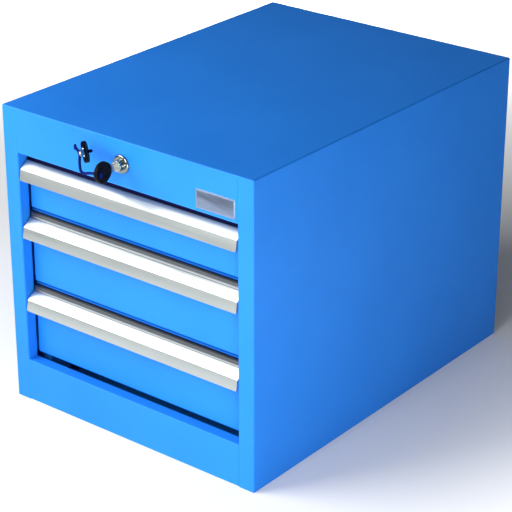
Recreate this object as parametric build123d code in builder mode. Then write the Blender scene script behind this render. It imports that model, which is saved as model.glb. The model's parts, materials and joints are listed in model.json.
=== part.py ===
from build123d import *
import math
import os

os.makedirs("parts", exist_ok=True)

# Drawer tool cabinet, in millimetres. The origin is on the floor under the middle of the body,
# +Z is up, the drawers open towards -Y and +X is the right-hand side seen from the front.

# Carcass
cabinet_width = 440.0
cabinet_depth = 600.0
cabinet_height = 450.0
carcass_sheet = 1.2
fold_radius = 2.0
edge_round = 0.8
stile_width = 26.0
return_depth = 17.0
bottom_rail_height = 64.5
top_rail_height = 66.0
top_rim = 3.0
rear_flange = 20.0
weld_flange = 15.0
seam_gap = 0.2

# Runner uprights inside the side walls
upright_width = 40.0
upright_setback = 3.0
upright_inset = 4.0
upright_floor_gap = 5.0

# Drawer fronts and boxes, from the top drawer down
front_recess = 18.8
front_depth = 15.0
front_side_gap = 2.5
front_top_gap = 1.75
front_bottom_gap = 6.4
drawer_gap = 2.4
top_front_height = 84.65
front_fold = 3.0
front_round = 1.5
front_top_lip = 26.0
front_bottom_lip = 14.0
drawer_sheet = 1.0
box_rear_gap = 33.8
box_rise = 6.0
box_top_drop = 19.0
box_fold = 2.0
box_hem = 3.0
drawer_travel = 450.0

# Handle rail on each drawer front
handle_height = 37.5
handle_wall = 1.8
lip_height = 15.9
lip_reach = 20.0
lip_lean = 2.0
lip_corner = 2.5
slope_top_height = 25.5
slope_top_reach = 4.6
groove_height = 25.0
groove_reach = 3.8
cove_height = 31.0
cove_reach = 1.6
cove_tip = 3.4
handle_leg_drop = 31.2

# Telescopic slides with their balls
slide_thickness = 12.7
slide_height = 45.0
slide_setback = 4.2
slide_rear_gap = 25.8
slide_seat = 4.5
middle_shortfall = 10.0
rail_sheet = 1.2
rail_fold = 1.6
rail_tip_gap = 0.8
cage_sheet = 0.5
cage_fold = 0.6
cage_gap = 0.5
cage_side_gap = 0.9
cage_end_gap = 15.0
cage_flange_gap = 0.4
ball_radius = 1.75
ball_clearance = 0.1
balls_in_a_row = 8

# Screws that hold the slides
screw_radius = 2.0
screw_head_radius = 4.0
screw_head_height = 1.4
screw_hole_gap = 0.1
screw_end = 2.0

# Name plate
plate_width = 64.0
plate_height = 26.8
plate_thickness = 0.8
plate_corner = 1.5
plate_edge_gap = 4.0
plate_above_opening = 5.3

# Cylinder lock in the top rail
bezel_radius = 13.0
bezel_height = 3.6
bezel_round = 2.4
barrel_radius = 9.5
barrel_length = 26.0
barrel_hole_gap = 0.1
nut_flat = 13.0
nut_thickness = 5.0
plug_radius = 6.5
plug_gap = 0.06
nose_radius = 8.0
nose_height = 8.0
nose_round = 0.8
nose_groove_reach = 3.4
nose_groove_width = 1.4
nose_groove_depth = 0.8
plug_tail = 2.0
keyway_gap = 0.2

# Keys, which are alike
blade_width = 8.0
blade_thickness = 2.2
blade_length = 38.0
blade_seat = 8.0
shoulder_width = 11.0
shoulder_length = 4.0
bitting_depth = 1.6
bitting_pitch = 5.0
bitting_count = 5
blade_tip = 2.5
bow_radius = 14.5
bow_thickness = 6.4
bow_round = 1.2
bow_hole_radius = 2.1
bow_hole_reach = 9.0
bow_stand_off = 37.0

# Moulded tie that holds the spare key to the key in the lock
tie_radius = 1.6
tie_bend = 5.0
tie_span = 60.0
tie_route_shares = (
    (-0.165, 0.0, 0.0),
    (-0.573, 0.067, -0.163),
    (-0.752, 0.217, 0.037),
    (-0.842, 0.35, 0.182),
    (-1.02, 0.383, 0.265),
)
tie_bar_length = 7.5
tie_bar_gap = 0.3
tie_branch_reach = 8.0
tie_knob_radius = 2.6
spare_turn = 40.0
spare_lean = 10.6
spare_tilt = 20.5

# Locking gear behind the lock
shaft_radius = 4.0
shaft_gap = 0.06
cam_radius = 14.0
cam_hub_radius = 12.0
cam_thickness = 6.0
cam_gap = 0.2
cam_setback = 5.6
cam_turn = 90.0
cam_points = 7
cam_foot_turn = 45.0
bar_lift = 8.0
bar_width = 24.0
bar_thickness = 2.5
bar_gap = 0.5
bar_foot = 30.0
hook_width = 16.0
hook_rise = 8.0
hook_thickness = 2.5
hook_play = 2.5
hook_gap = 2.0
catch_width = 30.0
catch_height = 24.0
catch_sheet = 1.5
catch_fold = 2.0
catch_reach = 14.0
catch_lip = 8.0
catch_drop = 6.0
guide_height = 16.0
guide_foot = 12.0
guide_fold = 1.5
guide_gap = 0.5
bracket_width = 40.0
bracket_sheet = 2.0
bracket_fold = 3.0
bracket_flange = 18.0
bracket_below_shaft = 14.0
bracket_before_cam = 30.0

# How far a cut runs past the faces that it opens
overrun = 5.0

# Places that follow from the sizes above
half_width = cabinet_width / 2
front_y = -cabinet_depth / 2
back_y = cabinet_depth / 2
wall_top = cabinet_height - top_rim
top_inside = cabinet_height - carcass_sheet
wall_inside = half_width - carcass_sheet
inner_fold = fold_radius - carcass_sheet
opening_half = half_width - stile_width
opening_bottom = bottom_rail_height
opening_top = cabinet_height - top_rail_height
return_y = front_y + return_depth
back_inside = back_y - 2 * carcass_sheet
lock_z = (opening_top + cabinet_height) / 2

face_y = front_y + front_recess
box_front_y = face_y + front_depth
box_rear_y = back_inside - box_rear_gap
box_length = box_rear_y - box_front_y
front_half = opening_half - front_side_gap
lower_front_height = (
    opening_top - opening_bottom - front_top_gap - front_bottom_gap - 2 * drawer_gap - top_front_height
) / 2
front_heights = (top_front_height, lower_front_height, lower_front_height)
drawer_names = ("drawer_1", "drawer_2", "drawer_3")

slide_outside = opening_half - upright_setback
box_half = slide_outside - slide_thickness
slide_front_y = box_front_y + slide_setback
slide_rear_y = box_rear_y - slide_rear_gap
slide_length = slide_rear_y - slide_front_y
middle_front_y = slide_front_y + middle_shortfall
middle_length = slide_length - 2 * middle_shortfall
cage_length = middle_length - drawer_travel / 2 - cage_end_gap
cabinet_web = slide_outside - rail_sheet
outer_cage_web = cabinet_web - screw_head_height - cage_side_gap
middle_web = outer_cage_web - cage_sheet - cage_side_gap
inner_cage_web = middle_web - rail_sheet - cage_gap
drawer_rail_tip = inner_cage_web - cage_sheet - cage_gap
rail_tip = box_half + rail_sheet + rail_tip_gap
race_gap = 2 * (ball_radius + ball_clearance)
cabinet_rail_half = slide_height / 2
middle_rail_half = cabinet_rail_half - rail_sheet - race_gap
drawer_rail_half = middle_rail_half - rail_sheet - race_gap
front_upright_y = slide_front_y + upright_inset
rear_upright_y = slide_rear_y - upright_inset - upright_width
screw_ys = (front_upright_y + upright_width / 2, rear_upright_y + upright_width / 2)

bar_front_y = back_inside - bar_gap - bar_thickness
cam_rear_y = bar_front_y - cam_setback
cam_front_y = cam_rear_y - cam_thickness
cam_rate = bar_lift / math.radians(cam_turn)
tab_bottom = lock_z + cam_radius + cam_gap
lip_rear_y = box_rear_y + catch_reach
hook_rear_y = lip_rear_y - catch_sheet - hook_play
bracket_y = cam_front_y - bracket_before_cam
bow_y = front_y - bow_stand_off
tie_pivot = Vector(0, bow_y - bow_hole_reach, lock_z)


def front_bottom(drawer):
    """Lowest height of a drawer front, counted from the top drawer."""
    above = sum(front_heights[: drawer + 1]) + drawer * drawer_gap
    return opening_top - front_top_gap - above


def box_bottom(drawer):
    """Underside of a drawer box."""
    return front_bottom(drawer) + box_rise


def box_top(drawer):
    """Rim of a drawer box."""
    return front_bottom(drawer) + front_heights[drawer] - box_top_drop


def slide_middle(drawer):
    """Height of the middle of a drawer's slides."""
    return box_bottom(drawer) + slide_seat + cabinet_rail_half


def catch_top(drawer):
    """Top of the catch on the back of a drawer box."""
    return box_top(drawer) - catch_drop


def hook_top(drawer):
    """Tip of the lock bar's hook under a drawer's catch, with the lock open."""
    return catch_top(drawer) - catch_sheet - catch_lip - hook_gap


def across(y):
    """Plane at right angles to the drawers' travel, whose extrusions run back with a negative amount."""
    return Plane.XZ.offset(-y)


def folded_strip(plane, sheet, radius, *points):
    """Section of a folded sheet: its outer line through the points, and the sheet on that line's left."""
    with BuildSketch(plane) as section:
        with BuildLine():
            FilletPolyline(*points, radius=radius)
            offset(amount=sheet, side=Side.LEFT)
        make_face()
    return section.sketch


def rounded_block(half, start_y, end_y, bottom, top, radius, upper=False):
    """Block whose upright edges are rounded, and its lower or upper edges with them."""
    with BuildPart() as block:
        with BuildSketch(Plane.XY.offset(bottom)):
            with Locations((0, (start_y + end_y) / 2)):
                RectangleRounded(2 * half, end_y - start_y, radius)
        extrude(amount=top - bottom)
        fillet(block.faces().sort_by(Axis.Z)[-1 if upper else 0].edges(), radius=radius)
    return block.part


def keep(piece, name):
    """Label a finished piece and write it under its name."""
    piece.part.label = name
    export_step(piece.part, f"parts/{name}.step")


def keep_mirrored(piece, name):
    """Write the left-hand twin of a piece that was modelled on the right."""
    with BuildPart() as twin:
        mirror(piece.part, about=Plane.YZ)
    keep(twin, name)


def keep_pair(piece, name):
    """Write a right-hand piece and its left-hand twin as one group of separate solids."""
    with BuildPart() as pair:
        add(piece.part)
        mirror(piece.part, about=Plane.YZ)
    keep(pair, name)


# Side panels: one folded sheet each, with the stile, its return and the rear flange
with BuildPart() as side_panel_right:
    extrude(
        folded_strip(
            Plane.XY,
            carcass_sheet,
            fold_radius,
            (opening_half, return_y),
            (opening_half, front_y),
            (half_width, front_y),
            (half_width, back_y),
            (half_width - rear_flange, back_y),
        ),
        amount=wall_top,
    )
keep(side_panel_right, "side_panel_right")
keep_mirrored(side_panel_right, "side_panel_left")

# Top panel: a shallow pan, turned down all round onto the walls
with BuildPart() as top_panel:
    add(rounded_block(half_width, front_y, back_y, wall_top, cabinet_height, fold_radius, upper=True))
    add(
        rounded_block(
            wall_inside,
            front_y + carcass_sheet,
            back_y - carcass_sheet,
            wall_top - overrun,
            top_inside,
            inner_fold,
            upper=True,
        ),
        mode=Mode.SUBTRACT,
    )
keep(top_panel, "top_panel")

# Bottom panel, turned up along the side walls
with BuildPart() as bottom_panel:
    extrude(
        folded_strip(
            across(return_y),
            carcass_sheet,
            fold_radius,
            (-wall_inside, weld_flange),
            (-wall_inside, 0),
            (wall_inside, 0),
            (wall_inside, weld_flange),
        ),
        amount=return_y - back_y + carcass_sheet + inner_fold + seam_gap,
    )
keep(bottom_panel, "bottom_panel")

# Back panel, flanged above and below, seated on the side panels' rear flanges
back_half = wall_inside - carcass_sheet - inner_fold - seam_gap
back_flange_y = back_y - carcass_sheet - weld_flange
with BuildPart() as back_panel:
    extrude(
        folded_strip(
            Plane.YZ.offset(-back_half),
            carcass_sheet,
            fold_radius,
            (back_flange_y, carcass_sheet),
            (back_y - carcass_sheet, carcass_sheet),
            (back_y - carcass_sheet, top_inside),
            (back_flange_y, top_inside),
        ),
        amount=2 * back_half,
    )
keep(back_panel, "back_panel")

# Front rails between the stiles, the upper one with the hole for the lock
with BuildPart() as front_top_rail:
    extrude(
        folded_strip(
            Plane.YZ.offset(-opening_half),
            carcass_sheet,
            fold_radius,
            (front_y, wall_top),
            (front_y, opening_top),
            (return_y, opening_top),
        ),
        amount=2 * opening_half,
    )
    with BuildSketch(across(front_y - overrun)):
        with Locations((0, lock_z)):
            Circle(barrel_radius + barrel_hole_gap)
    extrude(amount=-(overrun + carcass_sheet + overrun), mode=Mode.SUBTRACT)
keep(front_top_rail, "front_top_rail")

with BuildPart() as front_bottom_rail:
    extrude(
        folded_strip(
            Plane.YZ.offset(-opening_half),
            carcass_sheet,
            fold_radius,
            (return_y, opening_bottom),
            (front_y, opening_bottom),
            (front_y, 0),
            (return_y, 0),
        ),
        amount=2 * opening_half,
    )
keep(front_bottom_rail, "front_bottom_rail")


# Runner uprights: channels on the side walls that carry the slides
def make_upright(start_y, name):
    """Write the right and left uprights whose front legs stand at a place along the cabinet."""
    end_y = start_y + upright_width
    foot = weld_flange + upright_floor_gap
    with BuildPart() as upright:
        extrude(
            folded_strip(
                Plane.XY.offset(foot),
                carcass_sheet,
                fold_radius,
                (wall_inside, end_y),
                (slide_outside, end_y),
                (slide_outside, start_y),
                (wall_inside, start_y),
            ),
            amount=opening_top - foot,
        )
        with BuildSketch(Plane.YZ.offset(slide_outside - overrun)):
            with Locations(*[(start_y + upright_width / 2, slide_middle(drawer)) for drawer in range(3)]):
                Circle(screw_radius + screw_hole_gap)
        extrude(amount=overrun + carcass_sheet + overrun, mode=Mode.SUBTRACT)
    keep(upright, f"upright_right_{name}")
    keep_mirrored(upright, f"upright_left_{name}")


make_upright(front_upright_y, "front")
make_upright(rear_upright_y, "rear")


# Drawers: a folded box, a front with turned-in edges, a handle rail and a catch for the lock
def make_box(drawer):
    """Write the open box of a drawer, with hems along its sides."""
    floor = box_bottom(drawer)
    rim = box_top(drawer)
    outside = rounded_block(box_half, box_front_y, box_rear_y, floor, rim, box_fold)
    hollow = rounded_block(
        box_half - drawer_sheet,
        box_front_y + drawer_sheet,
        box_rear_y - drawer_sheet,
        floor + drawer_sheet,
        rim + overrun,
        box_fold - drawer_sheet,
    )
    with BuildPart() as box:
        add(outside)
        add(hollow, mode=Mode.SUBTRACT)
        with BuildSketch(Plane.XY.offset(rim - drawer_sheet)):
            for side in (-1, 1):
                with Locations((side * (box_half - box_hem / 2), (box_front_y + box_rear_y) / 2)):
                    Rectangle(box_hem, box_length - 2 * box_fold)
        extrude(amount=drawer_sheet)
    keep(box, f"{drawer_names[drawer]}_box")


def make_front(drawer):
    """Write the front of a drawer: a shallow pan, whose edges turn in to lips against the box."""
    bottom = front_bottom(drawer)
    top = bottom + front_heights[drawer]
    outline = (
        (box_front_y, top - front_top_lip),
        (box_front_y, top),
        (face_y, top),
        (face_y, bottom),
        (box_front_y, bottom),
        (box_front_y, bottom + front_bottom_lip),
    )
    folds = (front_round, front_round, front_fold, front_round)
    with BuildPart() as front:
        extrude(
            folded_strip(Plane.YZ.offset(-front_half), drawer_sheet, folds, *outline),
            amount=2 * front_half,
        )
        for end_x in (-front_half, front_half - drawer_sheet):
            with BuildSketch(Plane.YZ.offset(end_x)):
                with BuildLine():
                    FilletPolyline(*outline, radius=folds)
                    Line(outline[-1], outline[0])
                make_face()
            extrude(amount=drawer_sheet)
        for end_face in (front.faces().sort_by(Axis.X)[0], front.faces().sort_by(Axis.X)[-1]):
            fillet(end_face.edges(), radius=edge_round)
    keep(front, f"{drawer_names[drawer]}_front")


def make_handle(drawer):
    """Write the handle rail of a drawer: lip, slope, groove and a cove that curls forward, on a flat leg."""
    bottom = front_bottom(drawer) + front_heights[drawer] - handle_height
    slope = (slope_top_height - lip_height) / (lip_reach - lip_lean - slope_top_reach)
    inner_reach = lip_reach - lip_lean - handle_wall
    inner_height = lip_height + handle_wall * (slope - math.hypot(1, slope))
    leg_height = groove_height - handle_wall
    leg_bottom = handle_height - handle_leg_drop

    def at(reach, height):
        """Point of the section, by its reach from the drawer front and its height above the lip's foot."""
        return (face_y - reach, bottom + height)

    with BuildPart() as handle:
        with BuildSketch(Plane.YZ.offset(-front_half)):
            with BuildLine():
                TangentArc(at(cove_reach, cove_height), at(cove_tip, handle_height), tangent=(0, 1))
                Polyline(
                    at(cove_reach, cove_height),
                    at(cove_reach, groove_height),
                    at(groove_reach, groove_height),
                    at(slope_top_reach, slope_top_height),
                    at(lip_reach - lip_lean, lip_height),
                    at(lip_reach, 0),
                    at(lip_reach - handle_wall, 0),
                    at(inner_reach, inner_height),
                    at(handle_wall, leg_height),
                    at(handle_wall, leg_bottom),
                    at(0, leg_bottom),
                    at(0, handle_height),
                    at(cove_tip, handle_height),
                )
            make_face()
        extrude(amount=2 * front_half)
        fillet(handle.edges().group_by(Axis.Z)[0].filter_by(Axis.Y), radius=lip_corner)
    keep(handle, f"{drawer_names[drawer]}_handle")


def make_catch(drawer):
    """Write the folded catch on the back of a drawer box, which the lock bar's hook holds."""
    top = catch_top(drawer)
    with BuildPart() as catch:
        extrude(
            folded_strip(
                Plane.YZ.offset(-catch_width / 2),
                catch_sheet,
                catch_fold,
                (lip_rear_y, top - catch_sheet - catch_lip),
                (lip_rear_y, top),
                (box_rear_y, top),
                (box_rear_y, top - catch_height),
            ),
            amount=catch_width,
        )
    keep(catch, f"{drawer_names[drawer]}_catch")


# Slides: a cabinet rail, a middle rail and a drawer rail, which run on balls in two cages
def make_rail(drawer, web, tip, half_height, start_y, length, screw_holes=False):
    """Right-hand channel rail, whose web stands at one distance from the middle and its lips at another."""
    middle = slide_middle(drawer)
    turn = math.copysign(half_height, web - tip)
    with BuildPart() as rail:
        extrude(
            folded_strip(
                across(start_y),
                rail_sheet,
                rail_fold,
                (tip, middle - turn),
                (web, middle - turn),
                (web, middle + turn),
                (tip, middle + turn),
            ),
            amount=-length,
        )
        if screw_holes:
            with BuildSketch(Plane.YZ.offset(cabinet_web - overrun)):
                with Locations(*[(y, middle) for y in screw_ys]):
                    Circle(screw_radius + screw_hole_gap)
            extrude(amount=overrun + rail_sheet + overrun, mode=Mode.SUBTRACT)
    return rail


def make_cages(drawer, web, tip, ball_x, race_middle, centre_y, name):
    """Write both ball cages between two rails of a drawer: a folded strip with balls along its edges."""
    middle = slide_middle(drawer)
    half_height = race_middle + cage_sheet / 2
    pitch = cage_length / balls_in_a_row
    rows = [(centre_y + (number - (balls_in_a_row - 1) / 2) * pitch) for number in range(balls_in_a_row)]
    with BuildPart() as cage:
        extrude(
            folded_strip(
                across(centre_y - cage_length / 2),
                cage_sheet,
                cage_fold,
                (tip, middle - half_height),
                (web, middle - half_height),
                (web, middle + half_height),
                (tip, middle + half_height),
            ),
            amount=-cage_length,
        )
        with Locations(*[(ball_x, y, middle + edge * race_middle) for y in rows for edge in (-1, 1)]):
            Sphere(ball_radius)
    keep_pair(cage, f"{drawer_names[drawer]}_{name}")


def make_slides(drawer):
    """Write all the rails and cages of a drawer."""
    name = drawer_names[drawer]
    cabinet_rail = make_rail(
        drawer, slide_outside, rail_tip, cabinet_rail_half, slide_front_y, slide_length, screw_holes=True
    )
    keep(cabinet_rail, f"{name}_cabinet_rail_right")
    keep_mirrored(cabinet_rail, f"{name}_cabinet_rail_left")
    middle_rail = make_rail(drawer, middle_web, rail_tip, middle_rail_half, middle_front_y, middle_length)
    keep_pair(middle_rail, f"{name}_middle_rails")
    drawer_rail = make_rail(drawer, box_half, drawer_rail_tip, drawer_rail_half, slide_front_y, slide_length)
    keep(drawer_rail, f"{name}_drawer_rail_right")
    keep_mirrored(drawer_rail, f"{name}_drawer_rail_left")
    make_cages(
        drawer,
        outer_cage_web,
        rail_tip + cage_flange_gap,
        (rail_tip + middle_web) / 2,
        middle_rail_half + race_gap / 2,
        (slide_front_y + middle_front_y + middle_length) / 2,
        "outer_ball_cages",
    )
    make_cages(
        drawer,
        inner_cage_web,
        box_half + rail_sheet + cage_flange_gap,
        (rail_tip + drawer_rail_tip) / 2,
        drawer_rail_half + race_gap / 2,
        (middle_front_y + slide_rear_y) / 2,
        "inner_ball_cages",
    )


for drawer in range(3):
    make_box(drawer)
    make_front(drawer)
    make_handle(drawer)
    make_catch(drawer)
    make_slides(drawer)

# Screws through the cabinet rails into the uprights
with BuildPart() as screws_right:
    screw_places = [(y, slide_middle(drawer)) for drawer in range(3) for y in screw_ys]
    with BuildSketch(Plane.YZ.offset(cabinet_web)):
        with Locations(*screw_places):
            Circle(screw_radius)
    extrude(amount=rail_sheet + carcass_sheet + screw_end)
    with BuildSketch(Plane.YZ.offset(cabinet_web - screw_head_height)):
        with Locations(*screw_places):
            Circle(screw_head_radius)
    extrude(amount=screw_head_height)
    chamfer(screws_right.edges().group_by(Axis.X)[0], length=screw_head_height / 2)
keep_pair(screws_right, "rail_screws")

# Bare plate on the top rail
plate_right_x = opening_half - plate_edge_gap
plate_bottom_z = opening_top + plate_above_opening
with BuildPart() as name_plate:
    with BuildSketch(across(front_y)):
        with Locations((plate_right_x - plate_width / 2, plate_bottom_z + plate_height / 2)):
            RectangleRounded(plate_width, plate_height, plate_corner)
    extrude(amount=plate_thickness)
keep(name_plate, "name_plate")

# Lock: housing with its bezel, nut, and the plug that the key turns
nose_foot_y = front_y - bezel_height - plug_gap
nose_y = nose_foot_y - nose_height
with BuildPart() as lock_housing:
    with BuildSketch(across(front_y)):
        with Locations((0, lock_z)):
            Circle(bezel_radius)
    extrude(amount=bezel_height)
    fillet(lock_housing.edges().group_by(Axis.Y)[0], radius=bezel_round)
    with BuildSketch(across(front_y)):
        with Locations((0, lock_z)):
            Circle(barrel_radius)
    extrude(amount=-barrel_length)
    with BuildSketch(across(front_y - bezel_height - overrun)):
        with Locations((0, lock_z)):
            Circle(plug_radius + plug_gap)
    extrude(amount=-(overrun + bezel_height + barrel_length + overrun), mode=Mode.SUBTRACT)
keep(lock_housing, "lock_housing")

with BuildPart() as lock_nut:
    with BuildSketch(across(front_y + carcass_sheet)):
        with Locations((0, lock_z)):
            RegularPolygon(nut_flat, side_count=6, major_radius=False)
            Circle(barrel_radius + barrel_hole_gap, mode=Mode.SUBTRACT)
    extrude(amount=-nut_thickness)
keep(lock_nut, "lock_nut")

plug_rear_y = front_y + barrel_length + plug_tail
blade_tip_y = bow_y + bow_radius + blade_length
with BuildPart() as lock_plug:
    with BuildSketch(across(nose_foot_y)):
        with Locations((0, lock_z)):
            Circle(nose_radius)
    extrude(amount=nose_height)
    fillet(lock_plug.edges().group_by(Axis.Y)[0], radius=nose_round)
    with BuildSketch(across(nose_y + nose_groove_reach)):
        with Locations((0, lock_z)):
            Circle(nose_radius + overrun)
            Circle(nose_radius - nose_groove_depth, mode=Mode.SUBTRACT)
    extrude(amount=-nose_groove_width, mode=Mode.SUBTRACT)
    with BuildSketch(across(nose_foot_y)):
        with Locations((0, lock_z)):
            Circle(plug_radius)
    extrude(amount=nose_foot_y - plug_rear_y)
    with BuildSketch(across(nose_y - overrun)):
        with Locations((0, lock_z)):
            Rectangle(blade_thickness + 2 * keyway_gap, blade_width + 2 * keyway_gap)
    extrude(amount=nose_y - overrun - blade_tip_y - keyway_gap, mode=Mode.SUBTRACT)
keep(lock_plug, "lock_plug")


# Keys: a flat blade with its cuts, moulded into a round head with a hole
def make_key(plane, name):
    """Write the head and blade of a key that lies in a plane, with the blade along the plane's own X axis."""
    seat = bow_radius - blade_seat
    shoulder_end = bow_radius + shoulder_length
    tip = bow_radius + blade_length
    half = blade_width / 2
    cuts = [tip - bitting_pitch * (number + 1) for number in range(bitting_count)]
    with BuildPart() as head:
        with BuildSketch(plane.offset(-bow_thickness / 2)):
            Circle(bow_radius)
        extrude(amount=bow_thickness)
        fillet(head.edges().filter_by(GeomType.CIRCLE), radius=bow_round)
        with BuildSketch(plane.offset(-bow_thickness / 2 - overrun)):
            with Locations((-bow_hole_reach, 0)):
                Circle(bow_hole_radius)
        extrude(amount=bow_thickness + 2 * overrun, mode=Mode.SUBTRACT)
        with BuildSketch(plane.offset(-blade_thickness / 2)):
            with Locations((seat, 0)):
                Rectangle(blade_seat + overrun, shoulder_width, align=(Align.MIN, Align.CENTER))
        extrude(amount=blade_thickness, mode=Mode.SUBTRACT)
    keep(head, f"{name}_head")
    with BuildPart() as blade:
        with BuildSketch(plane.offset(-blade_thickness / 2)):
            with Locations((seat, 0)):
                Rectangle(shoulder_end - seat, shoulder_width, align=(Align.MIN, Align.CENTER))
            with BuildLine():
                Polyline(
                    (shoulder_end, half),
                    (tip - blade_tip, half),
                    (tip, half - blade_tip),
                    (tip, blade_tip - half),
                    (tip - blade_tip, -half),
                    (shoulder_end, -half),
                    close=True,
                )
            make_face()
            with Locations(*[(cut, -half) for cut in cuts]):
                RegularPolygon(bitting_depth, side_count=4, mode=Mode.SUBTRACT)
        extrude(amount=blade_thickness)
    keep(blade, f"{name}_blade")


make_key(Plane(origin=(0, bow_y, lock_z), x_dir=(0, 1, 0), z_dir=(1, 0, 0)), "key")

# Spare key, which stands on the tie with its blade towards the viewer
turn = math.radians(spare_turn)
lean = math.radians(spare_lean)
tilt = math.radians(spare_tilt)
spare_aside = Vector(math.cos(turn), math.sin(turn), 0)
spare_normal = spare_aside * math.cos(lean) + Vector(0, 0, math.sin(lean))
spare_level = Vector(math.sin(turn), -math.cos(turn), 0)
spare_upright = Vector(0, 0, math.cos(lean)) - spare_aside * math.sin(lean)
spare_blade_way = spare_level * math.cos(tilt) + spare_upright * math.sin(tilt)
tie_points = [tie_pivot + Vector(*share) * tie_span for share in tie_route_shares]
tie_branch = tie_points[-2]
spare_hole = tie_branch + spare_normal * tie_branch_reach
spare_centre = spare_hole + spare_blade_way * bow_hole_reach
make_key(Plane(origin=spare_centre, x_dir=spare_blade_way, z_dir=spare_normal), "spare_key")

# Tie: a moulded strap through the key's hole, with a bar at each end and a knobbed branch for the spare
tie_start = tie_pivot + Vector(bow_thickness / 2 + tie_bar_gap + tie_radius, 0, 0)
branch_length = tie_branch_reach + bow_thickness / 2 + tie_bar_gap + tie_knob_radius
with BuildPart() as key_tie:
    with BuildLine():
        FilletPolyline(tie_start, *tie_points, radius=tie_bend)
    with BuildSketch(Plane(origin=tie_start, z_dir=tie_points[0] - tie_start)):
        Circle(tie_radius)
    sweep()
    for end in (tie_start, tie_points[-1]):
        with BuildSketch(Plane.XY.offset(end.Z - tie_bar_length / 2)):
            with Locations((end.X, end.Y)):
                Circle(tie_radius)
        extrude(amount=tie_bar_length)
    with BuildSketch(Plane(origin=tie_branch, z_dir=spare_normal)):
        Circle(tie_radius)
    extrude(amount=branch_length)
    with Locations(tie_branch + spare_normal * branch_length):
        Sphere(tie_knob_radius)
    with Locations(tie_branch):
        Sphere(tie_radius)
keep(key_tie, "key_tie")

# Locking gear: the plug's shaft, its bracket, the lifting cam and the bar with a hook for each drawer
with BuildPart() as lock_shaft:
    with BuildSketch(across(plug_rear_y)):
        with Locations((0, lock_z)):
            Circle(shaft_radius)
    extrude(amount=plug_rear_y - cam_rear_y)
keep(lock_shaft, "lock_shaft")


def cam_point(angle):
    """Point of the cam's edge that lifts a flat face by the same amount for each degree of turn."""
    lift = cam_radius + cam_rate * angle
    return (
        -lift * math.sin(angle) - cam_rate * math.cos(angle),
        lock_z + lift * math.cos(angle) - cam_rate * math.sin(angle),
    )


cam_edge = [cam_point(math.radians(cam_turn) * number / (cam_points - 1)) for number in range(cam_points)]
hub_half = cam_hub_radius * math.sin(math.radians(cam_foot_turn))
with BuildPart() as lock_cam:
    with BuildSketch(across(cam_front_y)):
        with BuildLine():
            Spline(*cam_edge)
            Line(cam_edge[-1], (-hub_half, lock_z - hub_half))
            ThreePointArc(
                (-hub_half, lock_z - hub_half),
                (cam_hub_radius, lock_z),
                (0, lock_z + cam_hub_radius),
            )
            Line((0, lock_z + cam_hub_radius), cam_edge[0])
        make_face()
        with Locations((0, lock_z)):
            Circle(shaft_radius + shaft_gap, mode=Mode.SUBTRACT)
    extrude(amount=-cam_thickness)
keep(lock_cam, "lock_cam")

with BuildPart() as shaft_bracket:
    extrude(
        folded_strip(
            Plane.YZ.offset(-bracket_width / 2),
            bracket_sheet,
            bracket_fold,
            (bracket_y, lock_z - bracket_below_shaft),
            (bracket_y, top_inside),
            (bracket_y - bracket_flange, top_inside),
        ),
        amount=bracket_width,
    )
    with BuildSketch(across(bracket_y - bracket_flange - overrun)):
        with Locations((0, lock_z)):
            Circle(shaft_radius + shaft_gap)
    extrude(amount=-(bracket_flange + 2 * overrun), mode=Mode.SUBTRACT)
keep(shaft_bracket, "shaft_bracket")

bar_bottom = hook_top(2) - hook_rise - hook_thickness - bar_foot
with BuildPart() as lock_bar:
    with BuildSketch(Plane.XY.offset(bar_bottom)):
        with Locations((0, bar_front_y + bar_thickness / 2)):
            Rectangle(bar_width, bar_thickness)
    extrude(amount=tab_bottom + bar_thickness - bar_bottom)
    with BuildSketch(Plane.XY.offset(tab_bottom)):
        with Locations((0, (cam_front_y + bar_front_y) / 2)):
            Rectangle(bar_width, bar_front_y - cam_front_y)
    extrude(amount=bar_thickness)
    for drawer in range(3):
        with BuildSketch(Plane.YZ.offset(-hook_width / 2)):
            with BuildLine():
                Polyline(
                    (bar_front_y, hook_top(drawer) - hook_rise - hook_thickness),
                    (bar_front_y, hook_top(drawer) - hook_rise),
                    (hook_rear_y, hook_top(drawer) - hook_rise),
                    (hook_rear_y, hook_top(drawer)),
                    (hook_rear_y - hook_thickness, hook_top(drawer)),
                    (hook_rear_y - hook_thickness, hook_top(drawer) - hook_rise - hook_thickness),
                    close=True,
                )
            make_face()
        extrude(amount=hook_width)
keep(lock_bar, "lock_bar")

# Guides that hold the bar against the back panel
guide_half = bar_width / 2 + guide_gap
guide_front_y = bar_front_y - guide_gap
guide_middles = (
    (hook_top(1) + hook_top(2)) / 2,
    (hook_top(0) + tab_bottom) / 2,
)
with BuildPart() as lock_bar_guides:
    for middle in guide_middles:
        extrude(
            folded_strip(
                Plane.XY.offset(middle - guide_height / 2),
                carcass_sheet,
                guide_fold,
                (guide_half + guide_foot, back_inside),
                (guide_half, back_inside),
                (guide_half, guide_front_y),
                (-guide_half, guide_front_y),
                (-guide_half, back_inside),
                (-guide_half - guide_foot, back_inside),
            ),
            amount=guide_height,
        )
keep(lock_bar_guides, "lock_bar_guides")
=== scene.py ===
"""Looks of the drawer tool cabinet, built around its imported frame.

The folded carcass, the drawers and the slides keep their CAD meshes and get procedural finishes. The handle
rails, the name plate, the lock's housing, the key heads and their tie are modelled here in finer detail, each
in the place of the node that it stands for. Weld beads are added to the front frame. Lengths are in metres.
"""

import json
import logging
import math
from dataclasses import dataclass
from enum import Enum
from typing import Iterable, Sequence

import bmesh
import bpy
from bmesh.types import BMEdge, BMFace, BMVert
from mathutils import Matrix, Vector


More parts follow.
